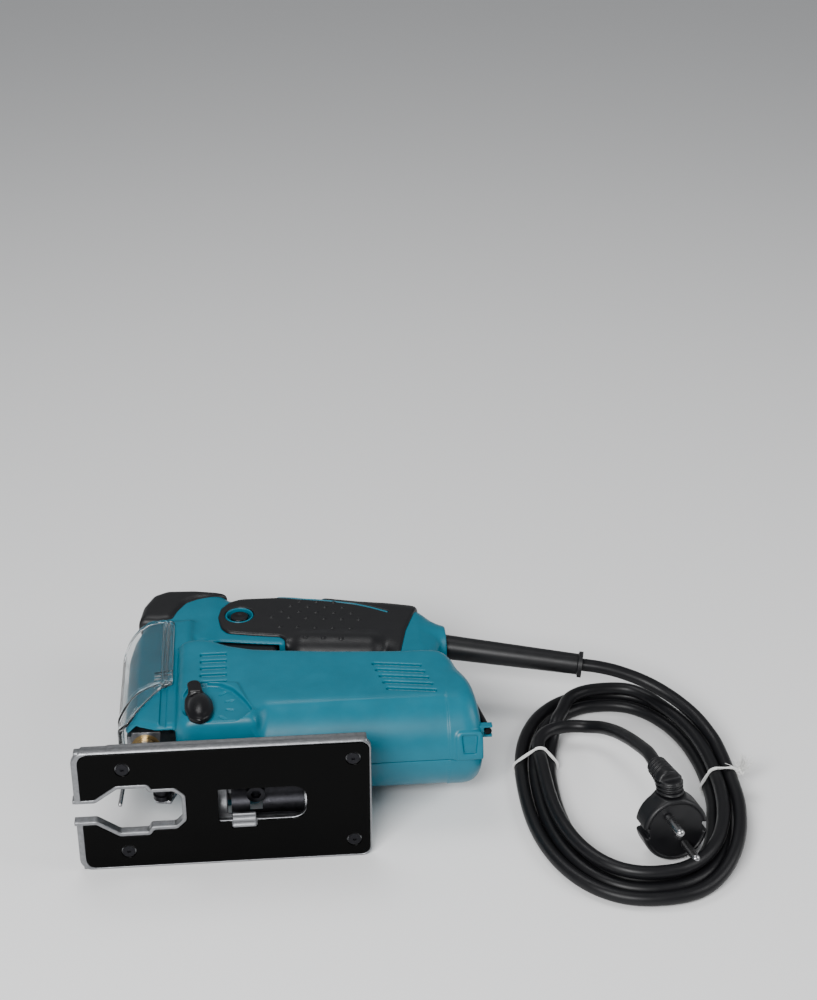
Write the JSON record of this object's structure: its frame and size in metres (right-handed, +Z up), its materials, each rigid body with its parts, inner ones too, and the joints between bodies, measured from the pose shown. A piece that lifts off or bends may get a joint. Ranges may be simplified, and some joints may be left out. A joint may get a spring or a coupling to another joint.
{
  "type": "jigsaw",
  "caption": "Corded D-handle jigsaw with forked tilting sole, clear dust cover, orbital selector and clipped hex key, lying on its side with its tied cord coil behind it.",
  "frame": {"origin": "centre of the tool's bounding box, without the cord, at the level of the floor that it lies on", "axes": "+X from the front of the sole to the motor cap, +Y from the sole to the handle, +Z up from the floor, which is from the tool's right side to its left side"},
  "size_m": [0.3724, 0.255, 0.0781],
  "materials": {
    "teal_plastic": "satin",
    "black_rubber": "matt, finely grained",
    "black_plastic": "satin",
    "clear_plastic": "clear, gloss",
    "cast_alloy": "satin",
    "steel": "ground",
    "black_steel": "blackened",
    "copper_wire": "enamelled",
    "bronze": "satin",
    "carbon": "matt",
    "fan_plastic": "satin",
    "cord_rubber": "satin",
    "cotton_string": "twisted"
  },
  "bodies": {
    "housing": {"housing_left": "teal_plastic", "housing_right": "teal_plastic", "grip_left": "black_rubber", "grip_right": "black_rubber", "front_pad": "black_rubber", "housing_screws": "steel", "gear_case": "cast_alloy", "slider_bushes": "bronze", "gear_axle": "steel", "front_bearing": "steel", "rear_bearing": "steel", "fan_baffle": "black_plastic", "field_core": "steel", "field_coils": "copper_wire", "brush_holders": "bronze", "carbon_brushes": "carbon", "brush_springs": "steel", "switch_body": "black_plastic", "suppressor": "black_plastic", "cord_clamp": "black_plastic", "guard_wire": "steel", "base_bolt": "black_steel", "arm_pivot_pin": "steel", "cord_guard": "black_rubber", "cord_lead": "cord_rubber", "cord_coil": "cord_rubber", "cord_tail": "cord_rubber", "cord_ties": "cotton_string", "plug_body": "black_rubber", "plug_pins": "steel"},
    "armature": {"armature_shaft": "steel", "armature_core": "steel", "armature_windings": "copper_wire", "commutator": "copper_wire", "cooling_fan": "fan_plastic"},
    "crank": {"crank_gear": "steel", "crank_pin": "steel", "crank_roller": "steel"},
    "slider": {"slider_rod": "steel", "slider_yoke": "steel", "blade_clamp": "steel", "clamp_screw": "black_steel"},
    "roller_arm": {"roller_arm": "steel", "roller_pin": "steel"},
    "guide_roller": {"guide_roller": "black_steel"},
    "selector": {"selector_lever": "black_plastic"},
    "trigger": {"switch_trigger": "black_plastic"},
    "lock_button": {"lock_button": "black_plastic"},
    "dust_cover": {"dust_cover": "clear_plastic"},
    "clamp_plate": {"clamp_plate": "black_steel"},
    "base": {"base_plate": "cast_alloy", "sole_cover": "black_plastic", "sole_clip": "cast_alloy", "sole_screws": "black_steel"},
    "hex_key": {"hex_key": "black_steel"}
  },
  "joints": [
    {"name": "armature_spin", "type": "hinge", "parent": "housing", "child": "armature", "pos_m": [0.00375, -0.0365, 0.0385], "axis": [1, 0, 0], "continuous": true},
    {"name": "crank_spin", "type": "hinge", "parent": "housing", "child": "crank", "pos_m": [-0.05225, -0.0113, 0.0385], "axis": [1, 0, 0], "continuous": true},
    {"name": "blade_stroke", "type": "slide", "parent": "housing", "child": "slider", "axis": [0, 1, 0], "range_m": [-0.009, 0.009]},
    {"name": "roller_swing", "type": "hinge", "parent": "housing", "child": "roller_arm", "pos_m": [-0.05825, -0.0565, 0.0385], "axis": [0, 0, 1], "range_deg": [-3, 0]},
    {"name": "roller_spin", "type": "hinge", "parent": "roller_arm", "child": "guide_roller", "pos_m": [-0.06875, -0.082, 0.0385], "axis": [0, 0, 1], "continuous": true},
    {"name": "selector_turn", "type": "hinge", "parent": "housing", "child": "selector", "pos_m": [-0.04785, -0.0455, 0.0665], "axis": [0, 0, 1], "range_deg": [-100, 0]},
    {"name": "trigger_pull", "type": "slide", "parent": "housing", "child": "trigger", "axis": [0, 1, 0], "range_m": [0, 0.006], "stiffness_N_per_m": 500, "springref_m": -0.003},
    {"name": "lock_press", "type": "slide", "parent": "housing", "child": "lock_button", "axis": [0, 0, -1], "range_m": [0, 0.003], "stiffness_N_per_m": 500, "springref_m": -0.002},
    {"name": "cover_slide", "type": "slide", "parent": "housing", "child": "dust_cover", "axis": [0, 1, 0], "range_m": [-0.03, 0]},
    {"name": "bevel_tilt", "type": "hinge", "parent": "housing", "child": "clamp_plate", "pos_m": [-0.01825, -0.0945, 0.0385], "axis": [1, 0, 0], "range_deg": [-45, 45]},
    {"name": "base_slide", "type": "slide", "parent": "clamp_plate", "child": "base", "axis": [1, 0, 0], "range_m": [0, 0.012]},
    {"name": "key_pull", "type": "slide", "parent": "housing", "child": "hex_key", "axis": [0.9816, 0.1908, 0], "range_m": [0, 0.022]}
  ],
  "couplings": [
    {"joint": "crank_spin", "follows": "armature_spin", "ratio": -0.14286}
  ]
}
